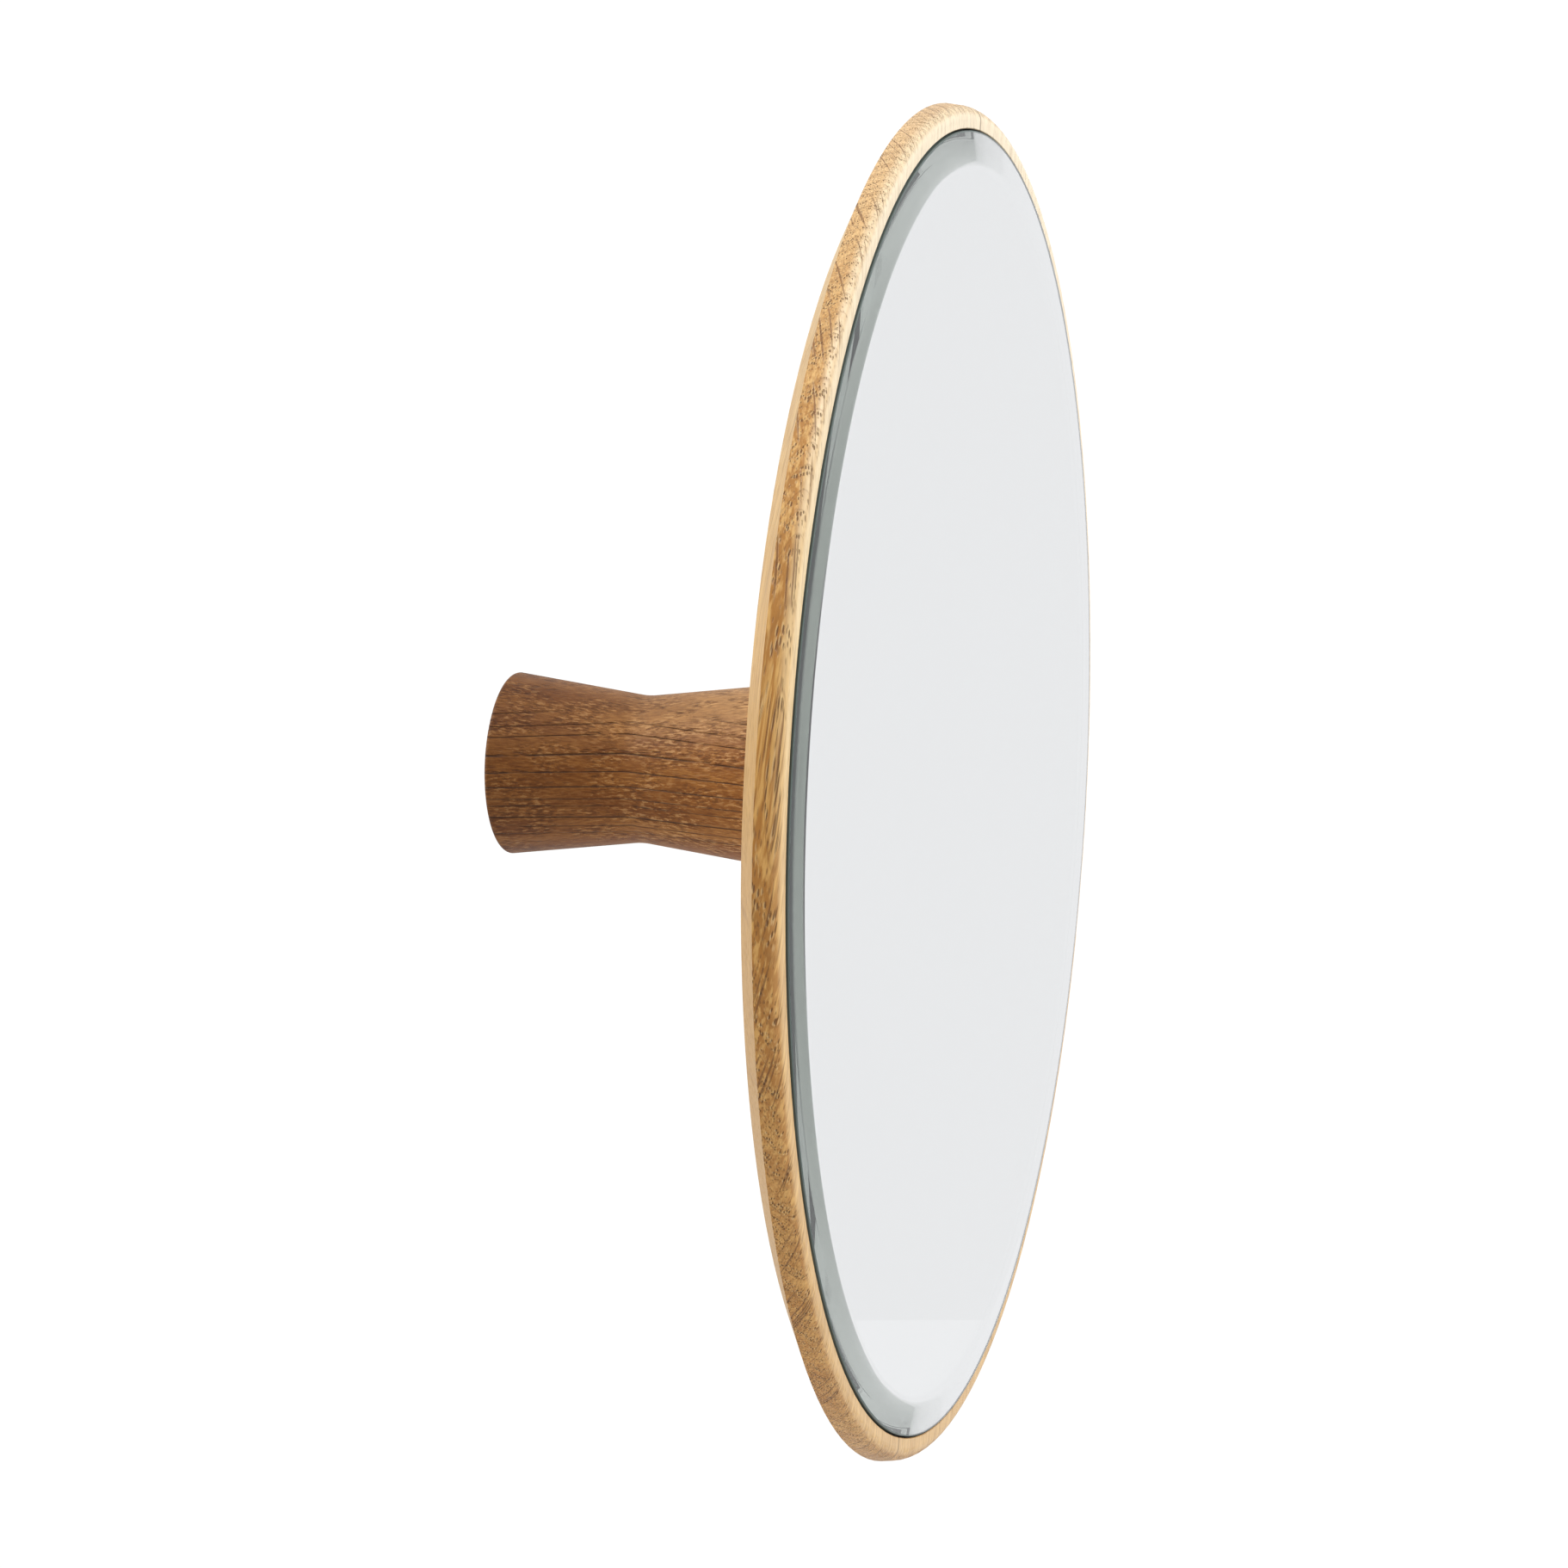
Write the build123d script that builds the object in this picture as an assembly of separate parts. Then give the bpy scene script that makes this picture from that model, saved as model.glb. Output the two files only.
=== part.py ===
from build123d import *
import os
from math import cos, radians, sin

# Round wall mirror: a bevelled mirror glass set in a turned oak disc, carried by a waisted oak stem.
# Frame: the origin is the centre of the stem's wall face, +Y points into the wall, the mirror faces -Y
# and +Z is up. All lengths are millimetres, and a "depth" is a distance from the wall along -Y.

# Turned disc
DISC_RADIUS = 150.0
DISC_THICKNESS = 10.0
SIDE_LEAN = 0.7  # the side draws in by this much from the chamfer to the front
FRONT_ROUND = 3.1
BACK_CHAMFER_WIDTH = 9.5
BACK_CHAMFER_DEPTH = 4.9
RECESS_RADIUS = 144.4
RECESS_CHAMFER = 0.3

# The disc is glued up from two oak staves, whose fibres lean this far from the vertical
GRAIN_LEAN = 13.7
GLUE_LINE_OFFSET = -20.1

# Bevelled glass and what is behind it
GLASS_RADIUS = 144.1
GLASS_THICKNESS = 3.0
GLASS_PROUD = 1.4  # the flat of the glass stands this far in front of the wood
BEVEL_WIDTH = 7.8
BEVEL_DROP = 0.96
GLASS_BACK_EDGE = 0.3
SILVERING_THICKNESS = 0.15
TAPE_THICKNESS = 0.8
TAPE_WIDTH = 25.0
TAPE_HEIGHTS = {-96.0: 150.0, -40.0: 220.0, 40.0: 220.0, 96.0: 150.0}  # strip centre x: strip height

# Turned stem
STEM_LENGTH = 95.3
STEM_WALL_RADIUS = 20.95
STEM_WAIST_RADIUS = 16.75
STEM_WAIST_DEPTH = 31.9
STEM_DISC_RADIUS = 24.75
WAIST_BLEND = 14.0
STEM_WALL_EDGE = 0.8

# Screws and dowels between the disc and the stem
FIT_GAP = 0.05
SCREW_CIRCLE = 13.0
SCREW_ANGLES = (90.0, 210.0, 330.0)
SCREW_LENGTH = 30.0
SCREW_RADIUS = 2.0
SCREW_ROOT = 1.4
SCREW_HEAD_RADIUS = 4.0
SCREW_HEAD_HEIGHT = 2.3
SCREW_HEAD_LIP = 0.3
SCREW_SHANK = 9.0
SCREW_PITCH = 1.8
SCREW_TURNS = 9
DRIVER_CROSS = (4.4, 0.9, 1.6)  # length, width and depth of the cross recess
DOWEL_RADIUS = 3.0
DOWEL_LENGTH = 22.0
DOWEL_IN_DISC = 4.5
DOWEL_CIRCLE = 15.0
DOWEL_ANGLES = (30.0, 150.0)
DOWEL_EDGE = 0.6
GLUE_POCKET = 1.0

# Threaded insert for an M8 hanger bolt, in the wall end of the stem
INSERT_LENGTH = 20.0
INSERT_RADIUS = 6.0
INSERT_ROOT = 5.3
INSERT_BORE = 3.4
INSERT_PITCH = 2.5
INSERT_TURNS = 7
INSERT_SLOT = (1.6, 2.0)  # width and depth of the driving slot
BOLT_END_RADIUS = 4.25
BOLT_END_DEPTH = 34.0

FRONT_DEPTH = STEM_LENGTH + DISC_THICKNESS
GLASS_FRONT_DEPTH = FRONT_DEPTH + GLASS_PROUD
GLASS_BACK_DEPTH = GLASS_FRONT_DEPTH - GLASS_THICKNESS
TAPE_FRONT_DEPTH = GLASS_BACK_DEPTH - SILVERING_THICKNESS
RECESS_DEPTH = TAPE_FRONT_DEPTH - TAPE_THICKNESS


def turned(points, rounds=()):
    """Turn a section about the Y axis; points are (radius, depth), rounds are (point, radius) pairs."""
    section = make_face(Polyline(*[(radius, -depth) for radius, depth in points], close=True))
    for (radius, depth), size in rounds:
        corner = section.vertices().sort_by_distance((radius, -depth, 0))[0]
        section = fillet(corner, size)
    return revolve(section, axis=Axis.Y)


def rod(radius, near, far):
    """A plain cylinder on the Y axis, from depth near to depth far."""
    return turned([(0, near), (radius, near), (radius, far), (0, far)])


def ridges(root, crest, start, pitch, count):
    """Section points of V-shaped thread turns, which start at a depth and run towards the wall."""
    points = []
    for turn in range(count):
        top = start - turn * pitch
        points += [(root, top), (crest, top - pitch / 2)]
    points.append((root, start - count * pitch))
    return points


def ring_places(circle, angles):
    """The places of holes or fasteners on a circle about the Y axis."""
    return [Pos(circle * cos(radians(a)), 0, circle * sin(radians(a))) for a in angles]


def group(solids):
    """Separate solids that share one node."""
    return Compound(children=list(solids))


def screw_head_section(gap=0.0):
    """Section of a countersunk head, flush with the recess floor, with room around it if wanted."""
    head, shank = SCREW_HEAD_RADIUS + gap, SCREW_RADIUS + gap
    lip = (head, RECESS_DEPTH - SCREW_HEAD_LIP)
    cone_end = (shank, RECESS_DEPTH - SCREW_HEAD_HEIGHT)
    return [(0, RECESS_DEPTH), (head, RECESS_DEPTH), lip, cone_end]


def screw_hole():
    end = RECESS_DEPTH - SCREW_LENGTH
    hole = SCREW_RADIUS + FIT_GAP
    return turned(screw_head_section(FIT_GAP) + [(hole, end), (0, end)])


def make_screw():
    shank_end = RECESS_DEPTH - SCREW_SHANK
    tip = RECESS_DEPTH - SCREW_LENGTH
    thread = ridges(SCREW_ROOT, SCREW_RADIUS, shank_end, SCREW_PITCH, SCREW_TURNS)
    body = turned(screw_head_section() + [(SCREW_RADIUS, shank_end)] + thread + [(0, tip)])
    length, width, depth = DRIVER_CROSS
    for turn in (0, 90):
        slot = Rot(0, turn, 0) * Box(length, 2 * depth, width)
        body -= Pos(0, -RECESS_DEPTH, 0) * slot
    return body


def dowel_hole():
    near = STEM_LENGTH + DOWEL_IN_DISC - DOWEL_LENGTH - GLUE_POCKET
    return rod(DOWEL_RADIUS + FIT_GAP, near, STEM_LENGTH + DOWEL_IN_DISC)


def make_dowel():
    far = STEM_LENGTH + DOWEL_IN_DISC
    near = far - DOWEL_LENGTH
    peg = rod(DOWEL_RADIUS, near, far)
    return chamfer(peg.edges().filter_by(GeomType.CIRCLE), DOWEL_EDGE)


def fastener_holes():
    holes = [place * screw_hole() for place in ring_places(SCREW_CIRCLE, SCREW_ANGLES)]
    holes += [place * dowel_hole() for place in ring_places(DOWEL_CIRCLE, DOWEL_ANGLES)]
    return holes


def make_disc():
    back_edge = (DISC_RADIUS - BACK_CHAMFER_WIDTH, STEM_LENGTH)
    side_edge = (DISC_RADIUS, STEM_LENGTH + BACK_CHAMFER_DEPTH)
    front_edge = (DISC_RADIUS - SIDE_LEAN, FRONT_DEPTH)
    recess_front = (RECESS_RADIUS + RECESS_CHAMFER, FRONT_DEPTH)
    recess_side = (RECESS_RADIUS, FRONT_DEPTH - RECESS_CHAMFER)
    recess_floor = [(RECESS_RADIUS, RECESS_DEPTH), (0, RECESS_DEPTH)]
    outside = [(0, STEM_LENGTH), back_edge, side_edge, front_edge]
    disc = turned(outside + [recess_front, recess_side] + recess_floor, [(front_edge, FRONT_ROUND)])
    return disc - fastener_holes()


def make_staves():
    """Cut the disc along its glue line, which follows the leaning fibres."""
    lean = radians(GRAIN_LEAN)
    across = Vector(cos(lean), 0, -sin(lean))
    glue_line = Plane(origin=across * GLUE_LINE_OFFSET, z_dir=across)
    disc = make_disc()
    wide = split(disc, bisect_by=glue_line, keep=Keep.TOP)
    narrow = split(disc, bisect_by=glue_line, keep=Keep.BOTTOM)
    return wide, narrow


def make_stem():
    wall_edge = (STEM_WALL_RADIUS, 0)
    waist = (STEM_WAIST_RADIUS, STEM_WAIST_DEPTH)
    section = [(0, 0), wall_edge, waist, (STEM_DISC_RADIUS, STEM_LENGTH), (0, STEM_LENGTH)]
    stem = turned(section, [(waist, WAIST_BLEND), (wall_edge, STEM_WALL_EDGE)])
    stem -= rod(INSERT_RADIUS + FIT_GAP, 0, INSERT_LENGTH)
    stem -= rod(BOLT_END_RADIUS, 0, BOLT_END_DEPTH)
    return stem - fastener_holes()


def make_glass():
    crease = (GLASS_RADIUS - BEVEL_WIDTH, GLASS_FRONT_DEPTH)
    bevel_edge = (GLASS_RADIUS, GLASS_FRONT_DEPTH - BEVEL_DROP)
    back_edge = (GLASS_RADIUS - GLASS_BACK_EDGE, GLASS_BACK_DEPTH)
    side_edge = (GLASS_RADIUS, GLASS_BACK_DEPTH + GLASS_BACK_EDGE)
    back_centre, front_centre = (0, GLASS_BACK_DEPTH), (0, GLASS_FRONT_DEPTH)
    return turned([back_centre, back_edge, side_edge, bevel_edge, crease, front_centre])


def make_silvering():
    return rod(GLASS_RADIUS - GLASS_BACK_EDGE, TAPE_FRONT_DEPTH, GLASS_BACK_DEPTH)


def make_tape():
    middle = (TAPE_FRONT_DEPTH + RECESS_DEPTH) / 2
    strips = []
    for x, height in TAPE_HEIGHTS.items():
        strips.append(Pos(x, -middle, 0) * Box(TAPE_WIDTH, TAPE_THICKNESS, height))
    return group(strips)


def make_insert():
    plain = (INSERT_LENGTH - INSERT_PITCH * INSERT_TURNS) / 2
    thread = ridges(INSERT_ROOT, INSERT_RADIUS, INSERT_LENGTH - plain, INSERT_PITCH, INSERT_TURNS)
    inner_end = [(INSERT_BORE, INSERT_LENGTH), (INSERT_ROOT, INSERT_LENGTH)]
    insert = turned(inner_end + thread + [(INSERT_ROOT, 0), (INSERT_BORE, 0)])
    width, depth = INSERT_SLOT
    return insert - Box(2 * INSERT_RADIUS, 2 * depth, width)


def main():
    wide_stave, narrow_stave = make_staves()
    nodes = {
        "disc_stave_wide": wide_stave,
        "disc_stave_narrow": narrow_stave,
        "mirror_glass": make_glass(),
        "mirror_silvering": make_silvering(),
        "mirror_tape": make_tape(),
        "stem": make_stem(),
        "stem_screws": group(place * make_screw() for place in ring_places(SCREW_CIRCLE, SCREW_ANGLES)),
        "stem_dowels": group(place * make_dowel() for place in ring_places(DOWEL_CIRCLE, DOWEL_ANGLES)),
        "wall_insert": make_insert(),
    }
    os.makedirs("parts", exist_ok=True)
    for name, shape in nodes.items():
        export_step(shape, f"parts/{name}.step")
        print(name, round(shape.volume), "mm3")


main()
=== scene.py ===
from math import cos, pi, radians, sin

import bmesh
import bpy
from mathutils import Matrix, Vector


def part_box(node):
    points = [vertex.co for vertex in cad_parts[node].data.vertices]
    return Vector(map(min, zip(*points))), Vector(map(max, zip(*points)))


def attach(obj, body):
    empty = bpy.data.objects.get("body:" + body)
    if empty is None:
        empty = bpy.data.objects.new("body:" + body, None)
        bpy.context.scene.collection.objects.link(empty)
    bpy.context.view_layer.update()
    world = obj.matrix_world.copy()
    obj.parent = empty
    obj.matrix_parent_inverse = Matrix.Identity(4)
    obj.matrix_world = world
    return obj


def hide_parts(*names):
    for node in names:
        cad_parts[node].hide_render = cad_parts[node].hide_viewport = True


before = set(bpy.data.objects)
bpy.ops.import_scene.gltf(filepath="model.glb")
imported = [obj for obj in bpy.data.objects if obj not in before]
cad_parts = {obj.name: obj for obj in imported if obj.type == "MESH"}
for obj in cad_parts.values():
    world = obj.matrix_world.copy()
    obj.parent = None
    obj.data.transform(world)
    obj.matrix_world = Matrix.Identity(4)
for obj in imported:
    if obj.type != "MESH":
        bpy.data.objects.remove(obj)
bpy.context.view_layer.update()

# A round bevelled mirror in a turned oak disc, on a waisted oak stem. Metres, in the part's own frame:
# the wall is the plane y = 0, the mirror faces -Y and +Z is up.
MM = 0.001
ROOT = "root"

# ---------------------------------------------------------------- the frame's own sizes
glass_low, glass_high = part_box("mirror_glass")
silver_low, silver_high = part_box("mirror_silvering")
disc_low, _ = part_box("disc_stave_wide")
GLASS_RADIUS = glass_high.x
GLASS_FRONT = glass_low.y
GLASS_BACK = glass_high.y
DISC_FRONT = disc_low.y

# The bevel and its ground edge, as on the CAD glass
BEVEL_WIDTH = 7.8 * MM
BEVEL_DROP = 0.96 * MM
BEVEL_SOFT = 1.0 * MM  # the polished crease is rounded this far to each side of it
ARRIS = 0.3 * MM
RECESS_RADIUS = 144.4 * MM
RECESS_DEPTH = 2.55 * MM

# Oak
GRAIN_LEAN = radians(13.7)  # the disc's fibres lean this far from the vertical, towards +X
GRAIN_TILT = 0.08  # and lean this much out of the board, as a slope
DISC_VESSEL = (0.50, 0.50, 12.0)  # millimetres per vessel: round the pith, out from it and along it
DROP_NONE = -0.1  # under every value of the random numbers that thin the marks out
GLUE_LINE = -20.1  # millimetres from the disc's axis to the glue line, across the grain

# The room, as the mirror and the wood see it
ROOM = (0.830, 0.838, 0.851)
FLOOR_GAIN = 1.045  # the floor is this much brighter than the room
PURE_WHITE = 1.05
BOUNCES = 96  # light goes to and fro many times inside the bevel before it comes out
FLOOR_RADIUS, FLOOR_THICK, FLOOR_HEIGHT = 2.43, 0.01, -0.9

# Float glass, and silver. Light crosses the whole plate inside the bevel, so small changes here show.
WHITE = (1.0, 1.0, 1.0, 1.0)
GLASS_IOR = 1.52
GLASS_TINT, GLASS_TINT_DENSITY = (0.275, 0.45, 0.36, 1.0), 2.0
SILVER_DULL, SILVER_BRIGHT = (0.9817, 0.9816, 0.9804, 1.0), (0.9847, 0.9846, 0.9834, 1.0)
TOOL_PITCH = 0.12 * MM  # of the fine rings that the tool leaves on turned brass

# The camera: lens in millimetres, turn in degrees, and place
LENS, SENSOR = 91.823, 36.0
CAMERA_YAW, CAMERA_PITCH = -74.3354, 10.2672
CAMERA_PLACE = (-0.85627, DISC_FRONT - 0.19928, 0.15924)

# Lamps: place, what they point at, diameter, watts, and whether glass and gloss show them
LAMPS = {
    "key": ((0.2, -2.0, 1.7), (0, -0.1, 0), 1.2, 36.0, True),
    "back": ((-0.7, 1.3, 1.6), (0, -0.1, 0), 1.2, 29.0, True),
    "from_below": ((-0.5, -0.05, -0.8), (-0.1, -0.05, 0), 0.5, 1.6, False),
}


# ---------------------------------------------------------------- node helpers
class Graph:
    """The node tree of a material, with short calls for the nodes that the finishes need."""

    def __init__(self, name, world=False):
        made = bpy.data.worlds.new(name) if world else bpy.data.materials.new(name)
        made.use_nodes = True
        self.material = made
        self.tree = made.node_tree
        self.tree.nodes.clear()
        self.output = self.tree.nodes.new("ShaderNodeOutputWorld" if world else "ShaderNodeOutputMaterial")

    def put(self, kind, inputs=None, **settings):
        made = self.tree.nodes.new(kind)
        for key, value in settings.items():
            setattr(made, key, value)
        for key, value in (inputs or {}).items():
            self.feed(made.inputs[key], value)
        return made

    def feed(self, socket, value):
        if isinstance(value, bpy.types.NodeSocket):
            self.tree.links.new(value, socket)
        else:
            socket.default_value = value

    def math(self, operation, *values):
        return self.put("ShaderNodeMath", dict(enumerate(values)), operation=operation).outputs[0]

    def vector(self, operation, *values):
        return self.put("ShaderNodeVectorMath", dict(enumerate(values)), operation=operation).outputs[0]

    def axes(self, vector):
        """The X, Y and Z of a vector."""
        return self.put("ShaderNodeSeparateXYZ", {0: vector}).outputs

    def scaled(self, vector, sizes):
        """The vector divided by a size along each axis."""
        return self.vector("MULTIPLY", vector, tuple(1.0 / size for size in sizes))

    def total(self, first, *others):
        for value in others:
            first = self.math("ADD", first, value)
        return first

    def times(self, first, *others):
        for value in others:
            first = self.math("MULTIPLY", first, value)
        return first

    def less(self, a, b):
        return self.math("SUBTRACT", a, b)

    def length(self, a, b):
        return self.math("SQRT", self.total(self.times(a, a), self.times(b, b)))

    def noise(self, vector, detail=2.0, rough=0.5):
        inputs = {"Vector": vector, "Scale": 1.0, "Detail": detail, "Roughness": rough}
        return self.put("ShaderNodeTexNoise", inputs).outputs["Fac"]

    def cells(self, vector, jitter=1.0):
        inputs = {"Vector": vector, "Scale": 1.0, "Randomness": jitter}
        made = self.put("ShaderNodeTexVoronoi", inputs, voronoi_dimensions="3D", feature="F1")
        return made.outputs["Distance"], made.outputs["Color"]

    def remap(self, value, low, high, to_low=0.0, to_high=1.0):
        inputs = {"Value": value, "From Min": low, "From Max": high, "To Min": to_low, "To Max": to_high}
        return self.put("ShaderNodeMapRange", inputs, interpolation_type="SMOOTHSTEP").outputs[0]

    def mix(self, factor, a, b, blend="MIX"):
        made = self.put("ShaderNodeMix", {0: factor}, data_type="RGBA", blend_type=blend)
        colours = {"A": a, "B": b}
        for socket in made.inputs:
            if socket.type == "RGBA":
                self.feed(socket, colours[socket.name])
        return next(socket for socket in made.outputs if socket.type == "RGBA")

    def layer(self, colour, tint, *amounts):
        """The tint laid over the colour, as much as the product of the amounts says."""
        return self.mix(self.times(*amounts), colour, tint)

    def bump(self, height, strength, distance):
        inputs = {"Height": height, "Strength": strength, "Distance": distance}
        return self.put("ShaderNodeBump", inputs).outputs["Normal"]

    def principled(self, **inputs):
        named = {key.replace("_", " "): value for key, value in inputs.items()}
        shader = self.put("ShaderNodeBsdfPrincipled", named)
        self.tree.links.new(shader.outputs["BSDF"], self.output.inputs["Surface"])


def rgb(red, green, blue):
    """A colour given as it looks on screen, in 0 to 255, turned into linear light."""
    def linear(value):
        value /= 255.0
        return value / 12.92 if value <= 0.04045 else ((value + 0.055) / 1.055) ** 2.4
    return (linear(red), linear(green), linear(blue), 1.0)


# ---------------------------------------------------------------- oak
class Oak(Graph):
    """Oak in three dimensions: turn lays the fibres along local Z, pith is where the tree's centre ran.

    Growth rings are shells about the pith, each with rows of open vessels. The vessels are long tubes
    along the fibre, so they show as dots on end grain and as dashes along it. Rays run out from the pith.
    Sizes are in millimetres. Reach is the usual distance from the pith to the wood, stray is how far the
    fibres wander, and tilt is how far they lean out of the board, as a slope.
    """

    def __init__(self, name, turn, pith, reach, ring, stray, seed=0.0, tilt=0.0):
        super().__init__(name)
        self.coords = self.put("ShaderNodeTexCoord").outputs
        inputs = {"Vector": self.coords["Object"], "Rotation": turn, "Scale": (1 / MM, 1 / MM, 1 / MM)}
        self.board = self.put("ShaderNodeMapping", inputs, vector_type="POINT").outputs[0]
        grain = self.vector("ADD", self.board, (seed, seed, 0.0))
        rise = self.axes(self.board)[2]
        grain = self.vector("MULTIPLY_ADD", rise, (0.0, tilt, 0.0), grain)

        # the fibres wander a little
        swing = {"Vector": self.scaled(grain, (24.0, 24.0, 110.0)), "Scale": 1.0, "Detail": 2.0}
        wander = self.put("ShaderNodeTexNoise", swing).outputs["Color"]
        wander = self.vector("SUBTRACT", wander, (0.5, 0.5, 0.5))
        self.grain = self.vector("ADD", grain, self.vector("MULTIPLY", wander, (stray, stray, 0.0)))

        # distance from the pith, way round it, and place along it
        spoke = self.vector("SUBTRACT", self.grain, (pith[0] + seed, pith[1] + seed, 0.0))
        x, y, z = self.axes(spoke)
        out = self.length(x, y)
        around = self.times(self.math("ARCTAN2", y, x), reach)
        self.polar = self.put("ShaderNodeCombineXYZ", {0: around, 1: out, 2: z}).outputs[0]

        # growth rings of uneven width
        inputs = {"W": self.times(out, 0.11), "Scale": 1.0, "Detail": 1.0}
        years = self.put("ShaderNodeTexNoise", inputs, noise_dimensions="1D").outputs["Fac"]
        self.phase = self.math("FRACT", self.total(self.math("DIVIDE", out, ring), self.times(years, 2.6)))

    def cell_mask(self, vector, sizes, width, dropped, jitter=1.0, part=0):
        """Spots at a Voronoi grid's points.

        Width is their outer and inner radius in cells, and dropped is the share of them that is left out.
        """
        away, tint = self.cells(self.scaled(vector, sizes), jitter)
        chance = self.axes(tint)[part]
        return self.times(self.remap(away, *width), self.remap(chance, dropped, dropped + 0.05))

    def thin_lines(self, vector, sizes, width):
        """Wandering hairlines, where a noise crosses its middle value."""
        level = self.noise(self.scaled(vector, sizes), detail=1.0)
        return self.remap(self.math("ABSOLUTE", self.less(level, 0.5)), width, 0.0)


def disc_oak(name, pith, reach, seed):
    """Pale oiled oak. The turned side shows end grain at the top and bottom, and long grain between."""
    g = Oak(name, (0.0, -GRAIN_LEAN, 0.0), pith, reach, ring=1.9, stray=2.0, seed=seed, tilt=GRAIN_TILT)
    fibre = (sin(GRAIN_LEAN), 0.0, cos(GRAIN_LEAN))
    along = g.put("ShaderNodeVectorMath", {0: g.coords["Normal"], 1: fibre}, operation="DOT_PRODUCT")
    end_grain = g.remap(g.math("ABSOLUTE", along.outputs["Value"]), 0.25, 0.85)

    # which way the wood faces; its marks are strongest on the turned side and on the flat back
    facing = g.axes(g.coords["Normal"])[1]
    front = g.remap(facing, -0.75, -0.99)
    back = g.remap(facing, 0.3, 0.9)
    flat_back = g.remap(facing, 0.93, 0.98)
    side = g.less(1.0, g.times(g.less(g.total(front, back), g.times(flat_back, 0.75)), 0.7))

    # vessels in rows, single vessels, painted highlights beside the rows, rays, and hairlines
    early = g.times(g.remap(g.phase, 0.0, 0.08), g.remap(g.phase, 0.56, 0.40))
    boundary = g.math("MAXIMUM", g.remap(g.phase, 0.0, 0.07, 1.0, 0.0), g.remap(g.phase, 0.93, 1.0))
    row = g.cell_mask(g.polar, DISC_VESSEL, (0.36, 0.20), DROP_NONE, jitter=0.7)
    stray = g.cell_mask(g.polar, (0.40, 0.40, 8.0), (0.38, 0.18), 0.40, part=1)
    pores = g.times(g.math("MAXIMUM", g.times(row, early), g.times(stray, 0.50)), side)
    # painted highlights: the rows again, shifted a little, where their relief would catch the light
    beside = g.vector("ADD", g.polar, (0.16, 0.16, 0.0))
    pore_highlights = g.times(g.cell_mask(beside, DISC_VESSEL, (0.40, 0.24), DROP_NONE, jitter=0.7), early)
    rays = g.times(g.cell_mask(g.polar, (0.42, 22.0, 16.0), (0.52, 0.26), 0.74, part=2), side)
    hair = g.cell_mask(g.polar, (0.22, 5.0, 3.5), (0.45, 0.15), 0.50, part=1)
    squiggle = g.times(g.thin_lines(g.grain, (1.0, 1.0, 9.0), 0.035), end_grain)

    # the wood's own tone
    streak = g.noise(g.scaled(g.grain, (0.38, 0.38, 26.0)), detail=3.0, rough=0.6)
    figure = g.noise(g.scaled(g.polar, (9.0, 2.2, 90.0)))
    cloud = g.noise(g.scaled(g.grain, (26.0, 26.0, 120.0)), detail=1.0)
    band = g.noise(g.scaled(g.grain, (0.8, 0.8, 70.0)), detail=3.0)
    band = g.times(g.less(band, 0.5), g.remap(end_grain, 0.0, 0.6, 1.10, 0.12))
    tone = g.total(g.times(streak, 0.50), g.times(figure, 0.24), band, g.times(cloud, 0.10),
                   g.remap(end_grain, 0.0, 0.5, 0.05, 0.0))
    colour = g.mix(g.remap(tone, 0.28, 0.56), rgb(228, 186, 124), rgb(186, 134, 72))

    # painted light and shade: paler where light falls, at the top, on the front ring, along the side's front
    # edge and on the chamfer; golden and darker lower down, in painted shade
    across, depth, up = g.axes(g.board)
    ring_edge = DISC_FRONT / MM
    # mask for the painted highlight along the side's front edge, off the front ring
    edge = g.times(g.remap(depth, ring_edge + 2.6, ring_edge + 0.5), g.less(1.0, front))
    # painted light: paler towards the top
    colour = g.layer(colour, rgb(238, 212, 170), g.remap(up, 60.0, 150.0, 0.0, 0.4))
    # painted light on the front ring, which faces the lamps
    colour = g.layer(colour, rgb(253, 238, 208), front, g.remap(up, 40.0, -60.0, 0.85, 0.45))
    # painted highlight along the side's front edge
    colour = g.layer(colour, rgb(250, 228, 188), edge, g.remap(up, -40.0, 30.0, 0.1, 0.8))
    # painted light on the chamfer, lit from behind
    colour = g.layer(colour, rgb(226, 196, 134), back, 0.50)
    # painted shade: golden and darker lower down
    golden_shade = g.mix(1.0, colour, rgb(250, 236, 204), blend="MULTIPLY")
    colour = g.layer(colour, golden_shade, g.remap(up, 120.0, -20.0))
    # painted shade: a darker golden tone on the lower part of the chamfer
    colour = g.layer(colour, rgb(180, 136, 66), back, g.remap(up, 30.0, -60.0, 0.0, 0.55))

    # the marks on it
    colour = g.layer(colour, rgb(168, 118, 62), early, side, 0.14)
    colour = g.layer(colour, rgb(156, 106, 54), hair, 0.22)
    colour = g.layer(colour, rgb(140, 92, 44), boundary, side, 0.34)
    # painted highlight beside the vessel rows
    colour = g.layer(colour, rgb(240, 206, 148), pore_highlights, side, 0.45)
    colour = g.layer(colour, rgb(146, 98, 50), squiggle, 0.40)
    colour = g.layer(colour, rgb(124, 80, 38), rays, 0.70)
    colour = g.layer(colour, rgb(108, 66, 30), pores, 0.74)

    # the glue line, and painted shade in the recess, a dark brown where shade falls between the glass and the
    # wood
    from_glue = g.math("ABSOLUTE", g.less(across, GLUE_LINE))
    seam = g.times(g.remap(from_glue, 0.60, 0.35, 0.0, 0.7), g.remap(flat_back, 0.0, 1.0, 1.0, 0.5))
    colour = g.layer(colour, rgb(112, 76, 40), seam)
    rim, floor = RECESS_RADIUS / MM, (DISC_FRONT + RECESS_DEPTH) / MM
    recess_shade = g.times(g.remap(g.length(across, up), rim + 0.16, rim + 0.08),
                        g.remap(depth, floor + 0.3, floor + 0.05))
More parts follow.
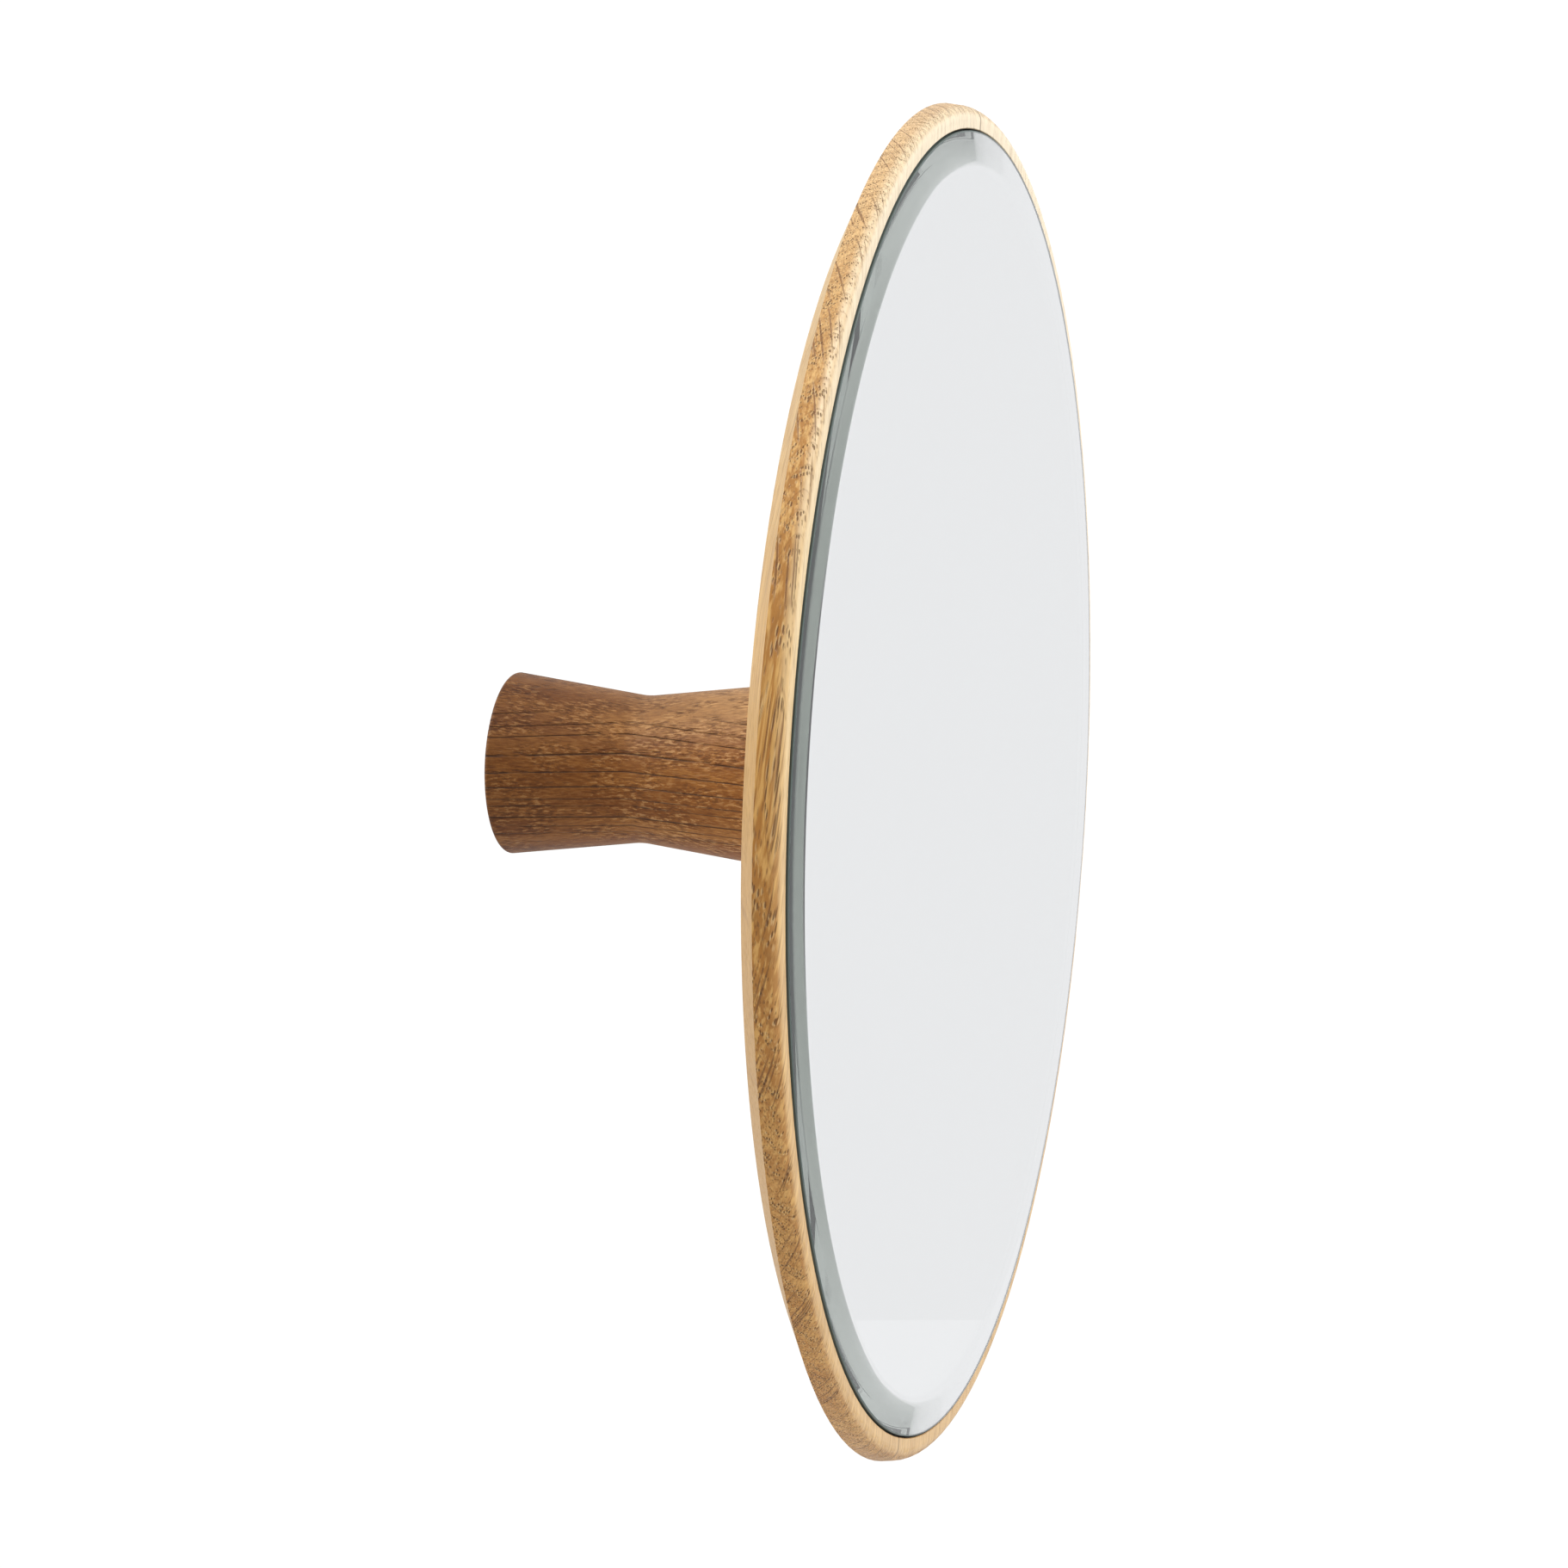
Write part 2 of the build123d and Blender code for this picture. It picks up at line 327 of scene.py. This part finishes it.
    # painted shade in the recess
    colour = g.layer(colour, rgb(62, 42, 26), recess_shade)

    rough = g.total(g.times(streak, 0.12), g.times(pores, 0.25), 0.34)
    height = g.less(g.times(streak, 0.25), g.total(pores, g.times(rays, 0.4), g.times(squiggle, 0.4)))
    relief = g.bump(height, 1.0, 0.22 * MM)
    g.principled(Base_Color=colour, Roughness=rough, Normal=relief, Specular_IOR_Level=0.45)
    return g.material


def stem_oak():
    """Darker oak, browner and darker towards the wall in painted shade, with the rings edge-on: thin dark
    lines run unbroken along it.
    """
    g = Oak("oak_stem", (pi / 2, 0.0, 0.0), pith=(34.0, 190.0), reach=190.0, ring=2.7, stray=1.6)
    facing_up = g.axes(g.coords["Normal"])[2]
    from_wall = g.axes(g.board)[2]  # nought at the wall, and negative towards the disc

    # the year lines, which fade on top and below, and rows of short dashes
    patch = g.noise(g.scaled(g.grain, (2.2, 2.2, 26.0)))
    line = g.math("MAXIMUM", g.remap(g.phase, 0.0, 0.075, 1.0, 0.0), g.remap(g.phase, 0.94, 1.0))
    line = g.times(line, g.remap(patch, 0.30, 0.46), g.remap(g.math("ABSOLUTE", facing_up), 0.85, 0.6))
    early = g.remap(g.phase, 0.36, 0.05)
    row = g.cell_mask(g.polar, (0.5, 0.5, 5.0), (0.46, 0.18), 0.05)
    dashes = g.times(row, g.total(g.times(early, 0.65), 0.35), g.remap(patch, 0.62, 0.40))

    # dark and pale flecks, in patches
    curl = g.noise(g.scaled(g.polar, (0.42, 0.60, 2.2)), detail=3.0, rough=0.6)
    patches = g.remap(g.noise(g.scaled(g.polar, (4.0, 4.5, 10.0))), 0.40, 0.56, 0.25, 1.0)
    fleck = g.times(g.remap(curl, 0.47, 0.40), patches)
    pale = g.times(g.remap(curl, 0.54, 0.61), patches)

    streak = g.noise(g.scaled(g.grain, (0.36, 0.36, 14.0)), detail=4.0, rough=0.65)
    cloud = g.noise(g.scaled(g.grain, (7.0, 7.0, 40.0)))
    tone = g.total(g.times(streak, 0.55), g.times(cloud, 0.45))
    colour = g.mix(g.remap(tone, 0.36, 0.60), rgb(187, 130, 67), rgb(145, 89, 37))
    # painted light: paler on top, more so towards the disc
    colour = g.layer(colour, rgb(230, 194, 142), g.remap(facing_up, 0.35, 0.95),
                     g.remap(from_wall, 0.0, -90.0, 0.0, 0.50))
    colour = g.layer(colour, rgb(118, 72, 34), early, 0.15)
    colour = g.layer(colour, rgb(232, 182, 122), pale, 0.55)
    colour = g.layer(colour, rgb(100, 58, 24), fleck, 0.60)
    colour = g.layer(colour, rgb(84, 48, 20), dashes, 0.62)
    colour = g.layer(colour, rgb(58, 32, 12), line, 0.85)
    # painted shade: darker towards the wall end
    shaded = g.mix(1.0, colour, rgb(184, 174, 162), blend="MULTIPLY")
    colour = g.mix(g.remap(from_wall, 8.0, -78.0), shaded, colour)

    rough = g.total(g.times(streak, 0.12), 0.46)
    height = g.less(g.times(streak, 0.3), g.total(dashes, line, g.times(fleck, 0.3)))
    relief = g.bump(height, 0.9, 0.18 * MM)
    g.principled(Base_Color=colour, Roughness=rough, Normal=relief, Specular_IOR_Level=0.25)
    return g.material


# ---------------------------------------------------------------- other finishes
def clear_glass():
    """Float glass, faintly green in its depth, with the least trace of handling on its face."""
    g = Graph("float_glass")
    place = g.put("ShaderNodeTexCoord").outputs["Object"]
    smear = g.noise(g.scaled(place, (0.05, 0.05, 0.02)), detail=3.0)
    rough = g.remap(smear, 0.55, 0.85, 0.0, 0.012)
    g.principled(Base_Color=WHITE, Roughness=rough, IOR=GLASS_IOR, Transmission_Weight=1.0)
    depth = g.put("ShaderNodeVolumeAbsorption", {"Color": GLASS_TINT, "Density": GLASS_TINT_DENSITY})
    g.tree.links.new(depth.outputs[0], g.output.inputs["Volume"])
    return g.material


def ground_glass():
    """The ground edge of the glass, dark green where light leaves it, with grinding lines along it."""
    g = Graph("ground_glass")
    place = g.put("ShaderNodeTexCoord").outputs["Object"]
    lines = g.noise(g.scaled(place, (0.004, 0.0002, 0.004)), detail=2.0)
    colour = g.mix(lines, rgb(70, 84, 80), rgb(90, 104, 100))
    rough = g.remap(lines, 0.3, 0.7, 0.35, 0.5)
    g.principled(Base_Color=colour, Roughness=rough, IOR=GLASS_IOR)
    return g.material


def silvering():
    """Silver towards the glass, and grey backing paint on every other side."""
    g = Graph("silver_and_paint")
    coords = g.put("ShaderNodeTexCoord").outputs
    front = g.math("LESS_THAN", g.axes(coords["Normal"])[1], -0.5)
    bloom = g.noise(g.scaled(coords["Object"], (0.09, 0.09, 0.09)), detail=3.0)
    silver = g.mix(bloom, SILVER_DULL, SILVER_BRIGHT)
    paint = g.mix(bloom, rgb(96, 101, 104), rgb(112, 117, 119))
    rough = g.times(g.less(1.0, front), g.remap(bloom, 0.3, 0.7, 0.45, 0.6))
    g.principled(Base_Color=g.mix(front, paint, silver), Metallic=front, Roughness=rough)
    return g.material


def foam_tape():
    g = Graph("foam_tape")
    place = g.put("ShaderNodeTexCoord").outputs["Object"]
    cell, _ = g.cells(g.scaled(place, (0.0004, 0.0004, 0.0004)))
    colour = g.mix(g.remap(cell, 0.1, 0.6), rgb(206, 206, 200), rgb(236, 236, 230))
    rough = g.remap(cell, 0.0, 0.6, 0.85, 0.7)
    g.principled(Base_Color=colour, Roughness=rough, Normal=g.bump(cell, 0.4, 0.05 * MM))
    return g.material


def zinc_steel():
    g = Graph("zinc_plate")
    place = g.put("ShaderNodeTexCoord").outputs["Object"]
    _, spangle = g.cells(g.scaled(place, (0.0006, 0.0006, 0.0006)))
    tint = g.axes(spangle)[0]
    colour = g.mix(tint, rgb(186, 186, 178), rgb(214, 214, 206))
    g.principled(Base_Color=colour, Metallic=1.0, Roughness=g.remap(tint, 0.0, 1.0, 0.26, 0.4))
    return g.material


def brass():
    """Turned brass: fine tool rings about the stem's axis, a little duller in patches."""
    g = Graph("turned_brass")
    place = g.put("ShaderNodeTexCoord").outputs["Object"]
    x, _, z = g.axes(place)
    rings = g.math("SINE", g.times(g.length(x, z), 2 * pi / TOOL_PITCH))
    dull = g.noise(g.scaled(place, (0.0025, 0.0025, 0.0025)), detail=3.0)
    colour = g.mix(g.remap(dull, 0.35, 0.7), rgb(214, 184, 112), rgb(168, 132, 72))
    rough = g.remap(dull, 0.3, 0.7, 0.22, 0.42)
    g.principled(Base_Color=colour, Metallic=1.0, Roughness=rough, Normal=g.bump(rings, 0.15, 0.01 * MM))
    return g.material


def beech():
    g = Graph("beech_dowel")
    place = g.put("ShaderNodeTexCoord").outputs["Object"]
    fleck, _ = g.cells(g.scaled(place, (0.0006, 0.004, 0.0006)))
    streak = g.noise(g.scaled(place, (0.0008, 0.02, 0.0008)), detail=3.0)
    colour = g.mix(streak, rgb(226, 190, 148), rgb(204, 160, 116))
    colour = g.mix(g.remap(fleck, 0.3, 0.1, 0.0, 0.4), colour, rgb(160, 112, 72))
    g.principled(Base_Color=colour, Roughness=g.remap(streak, 0.3, 0.7, 0.5, 0.65))
    return g.material


# ---------------------------------------------------------------- meshes
def lathe(name, profile, segments):
    """A solid turned about the Y axis. The profile's points are (radius, y), from axis to axis."""
    bm = bmesh.new()
    rings = []
    for radius, y in profile:
        if radius == 0.0:
            rings.append([bm.verts.new((0.0, y, 0.0))])
        else:
            turn = [2 * pi * k / segments for k in range(segments)]
            rings.append([bm.verts.new((radius * cos(t), y, radius * sin(t))) for t in turn])
    for a, b in zip(rings, rings[1:]):
        for k in range(segments):
            corners = [a[k % len(a)], a[(k + 1) % len(a)], b[(k + 1) % len(b)], b[k % len(b)]]
            bm.faces.new(list(dict.fromkeys(corners)))
    bmesh.ops.recalc_face_normals(bm, faces=bm.faces)
    mesh = bpy.data.meshes.new(name)
    bm.to_mesh(mesh)
    bm.free()
    made = bpy.data.objects.new(name, mesh)
    bpy.context.scene.collection.objects.link(made)
    return made


def smooth_by_angle(thing, degrees):
    """Shade the turned faces smooth, and leave every real crease sharp."""
    limit = radians(degrees)
    bm = bmesh.new()
    bm.from_mesh(thing.data)
    for face in bm.faces:
        face.smooth = True
    for edge in bm.edges:
        edge.smooth = len(edge.link_faces) == 2 and edge.calc_face_angle() < limit
    bm.to_mesh(thing.data)
    bm.free()


def make_glass():
    """The bevelled plate: polished face, bevel and back, and a ground edge with small arrises."""
    front, back, radius = GLASS_FRONT, GLASS_BACK, GLASS_RADIUS
    slope = BEVEL_DROP / BEVEL_WIDTH
    start = radius - BEVEL_WIDTH - BEVEL_SOFT
    steps = 8
    crease = [(start + 2 * BEVEL_SOFT * k / steps, front + slope * BEVEL_SOFT * (k / steps) ** 2)
              for k in range(steps + 1)]
    bevel = [(out, front + slope * (out - radius + BEVEL_WIDTH))
             for out in (crease[-1][0] + BEVEL_SOFT / 4, radius - ARRIS)]
    edge = [(radius, front + BEVEL_DROP + ARRIS / 2), (radius, back - ARRIS), (radius - ARRIS, back)]
    profile = [(0.0, front), (start - BEVEL_SOFT / 4, front), *crease, *bevel, *edge, (0.0, back)]
    plate = lathe("mirror_plate", profile, segments=512)
    smooth_by_angle(plate, degrees=2.0)
    plate.data.materials.append(clear_glass())
    plate.data.materials.append(ground_glass())
    for face in plate.data.polygons:
        out = Vector((face.center.x, face.center.z)).length
        if out > radius - ARRIS and face.center.y < back - ARRIS / 10:
            face.material_index = 1
    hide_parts("mirror_glass")
    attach(plate, ROOT)


def make_silvering():
    """Silver on the back of the glass. It reaches a hair into the glass, so no ray slips between them."""
    reach, inset, edge = 0.02 * MM, 0.1 * MM, 0.05 * MM
    front, back, radius = silver_low.y - reach, silver_high.y, silver_high.x - inset
    profile = [(0.0, front), (radius - edge, front), (radius, front + edge), (radius, back - edge),
               (radius - edge, back), (0.0, back)]
    layer = lathe("silver_layer", profile, segments=256)
    layer.data.materials.append(silvering())
    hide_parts("mirror_silvering")
    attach(layer, ROOT)


def finish_node(node, material):
    """A CAD node keeps its shape and gets its real finish."""
    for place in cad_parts[node].material_slots:
        place.material = material


# ---------------------------------------------------------------- camera, floor and light
def make_camera():
    data = bpy.data.cameras.new("camera")
    data.sensor_width = SENSOR
    data.lens = LENS
    data.clip_start, data.clip_end = 0.05, 60.0
    camera = bpy.data.objects.new("camera", data)
    bpy.context.scene.collection.objects.link(camera)
    bpy.context.scene.camera = camera
    yaw, pitch = radians(CAMERA_YAW), radians(CAMERA_PITCH)
    back = Vector((sin(yaw) * cos(pitch), -cos(yaw) * cos(pitch), sin(pitch)))
    right = Vector((cos(yaw), sin(yaw), 0.0))
    up = back.cross(right)
    turn = Matrix((right, up, back)).transposed().to_4x4()
    camera.matrix_world = Matrix.Translation(CAMERA_PLACE) @ turn


def make_floor():
    """A round pale floor well below the mirror, as far down as a wall mirror hangs above a bench."""
    outline = [(0.0, 0.0), (FLOOR_RADIUS, 0.0), (FLOOR_RADIUS, FLOOR_THICK), (0.0, FLOOR_THICK)]
    floor = lathe("floor", outline, segments=192)
    floor.rotation_euler.x = -pi / 2
    floor.location.z = FLOOR_HEIGHT
    g = Graph("pale_floor")
    glow = tuple(FLOOR_GAIN * value for value in ROOM) + (1.0,)
    x = g.axes(g.put("ShaderNodeTexCoord").outputs["Object"])[0]
    strength = g.remap(x, -0.6, 1.5, 0.8, 1.0)
    light_and_sight(g, g.put("ShaderNodeEmission", {"Color": glow, "Strength": strength}),
                    g.put("ShaderNodeEmission", {"Color": WHITE, "Strength": PURE_WHITE}))
    floor.data.materials.append(g.material)


def light_and_sight(g, light, sight):
    """One shader for light and reflections, and another for what the camera sees behind the object."""
    path = g.put("ShaderNodeLightPath").outputs["Is Camera Ray"]
    either = g.put("ShaderNodeMixShader", {0: path, 1: light.outputs[0], 2: sight.outputs[0]})
    g.tree.links.new(either.outputs[0], g.output.inputs["Surface"])


def make_lamp(name, place, target, size, watts, mirrored):
    data = bpy.data.lights.new(name, "AREA")
    data.shape, data.size, data.energy = "DISK", size, watts
    lamp = bpy.data.objects.new(name, data)
    bpy.context.scene.collection.objects.link(lamp)
    lamp.location = place
    lamp.rotation_euler = (Vector(target) - Vector(place)).to_track_quat("-Z", "Y").to_euler()
    lamp.visible_camera = False
    lamp.visible_glossy = lamp.visible_transmission = mirrored


def make_world():
    """Plain white behind the object, and for light and reflections a softer room, dim towards -X."""
    g = Graph("room", world=True)
    bpy.context.scene.world = g.material
    x = g.axes(g.put("ShaderNodeTexCoord").outputs["Generated"])[0]
    strength = g.remap(x, -0.95, -0.25, 0.35, 1.0)
    light_and_sight(g, g.put("ShaderNodeBackground", {"Color": ROOM + (1.0,), "Strength": strength}),
                    g.put("ShaderNodeBackground", {"Color": WHITE, "Strength": PURE_WHITE}))


def main():
    scene = bpy.context.scene
    scene.view_settings.view_transform = "Standard"
    scene.cycles.max_bounces = scene.cycles.glossy_bounces = scene.cycles.transmission_bounces = BOUNCES
    make_camera()
    make_world()
    make_floor()
    for name, settings in LAMPS.items():
        make_lamp(name, *settings)
    finish_node("disc_stave_wide", disc_oak("oak_wide_stave", pith=(-60.0, 80.0), reach=240.0, seed=0.0))
    finish_node("disc_stave_narrow", disc_oak("oak_narrow_stave", pith=(56.0, 47.0), reach=215.0, seed=300.0))
    finish_node("stem", stem_oak())
    finish_node("stem_screws", zinc_steel())
    finish_node("stem_dowels", beech())
    finish_node("mirror_tape", foam_tape())
    finish_node("wall_insert", brass())
    make_glass()
    make_silvering()


main()
